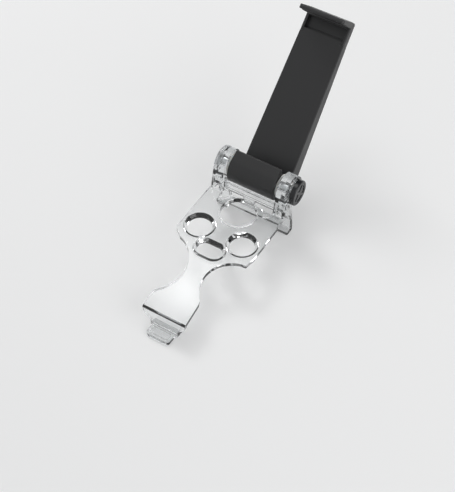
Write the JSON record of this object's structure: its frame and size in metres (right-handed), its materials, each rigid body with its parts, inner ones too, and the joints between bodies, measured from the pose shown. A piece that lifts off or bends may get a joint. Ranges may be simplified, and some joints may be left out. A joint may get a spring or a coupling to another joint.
{
  "type": "controller phone clip",
  "caption": "Clear clip-over face plate with a friction hinge and a black spring-loaded two-jaw arm that holds a phone above a hand-held game controller.",
  "frame": {"origin": "centre of the largest round hole in the face plate, on the plate's underside", "axes": "+X to the right, +Y to the rear along the plate, +Z out of the plate, away from what it is clipped to"},
  "size_m": [0.0437, 0.1586, 0.0871],
  "materials": {
    "clear_polycarbonate": "clear, polished moulding",
    "black_abs": "fine matt spark finish, near black",
    "grey_abs": "glossy dark grey",
    "rubber_strip": "soft, matt black",
    "natural_nylon": "translucent off-white",
    "black_acetal": "smooth, self-lubricating",
    "zinc_steel": "bright zinc plate",
    "spring_steel": "drawn wire"
  },
  "bodies": {
    "clip": {"face_clip": "clear_polycarbonate", "hinge_bolt": "zinc_steel", "friction_washer_left": "natural_nylon", "friction_washer_right": "natural_nylon", "spring_washer": "spring_steel"},
    "arm": {"arm_shell": "black_abs", "arm_back_cover": "black_abs", "cover_screws": "zinc_steel", "barrel_bush_left": "black_acetal", "barrel_bush_right": "black_acetal", "lower_jaw_pad": "rubber_strip", "slide_spring_left": "spring_steel", "slide_spring_right": "spring_steel"},
    "jaw": {"upper_jaw": "black_abs", "upper_jaw_pad": "rubber_strip"},
    "knob": {"knob": "grey_abs", "knob_cap": "grey_abs", "hinge_nut": "zinc_steel"}
  },
  "joints": [
    {"name": "arm_tilt", "type": "hinge", "parent": "clip", "child": "arm", "pos_m": [0, 0.0176, 0.0123], "axis": [1, 0, 0], "range_deg": [-36, 118]},
    {"name": "jaw_slide", "type": "slide", "parent": "arm", "child": "jaw", "axis": [0, 0.7266, 0.6871], "range_m": [0, 0.02], "stiffness_N_per_m": 990, "springref_m": -0.0035, "deforming": ["slide_spring_left", "slide_spring_right"]},
    {"name": "knob_turn", "type": "hinge", "parent": "clip", "child": "knob", "pos_m": [0.022, 0.0176, 0.0123], "axis": [1, 0, 0], "continuous": true}
  ]
}
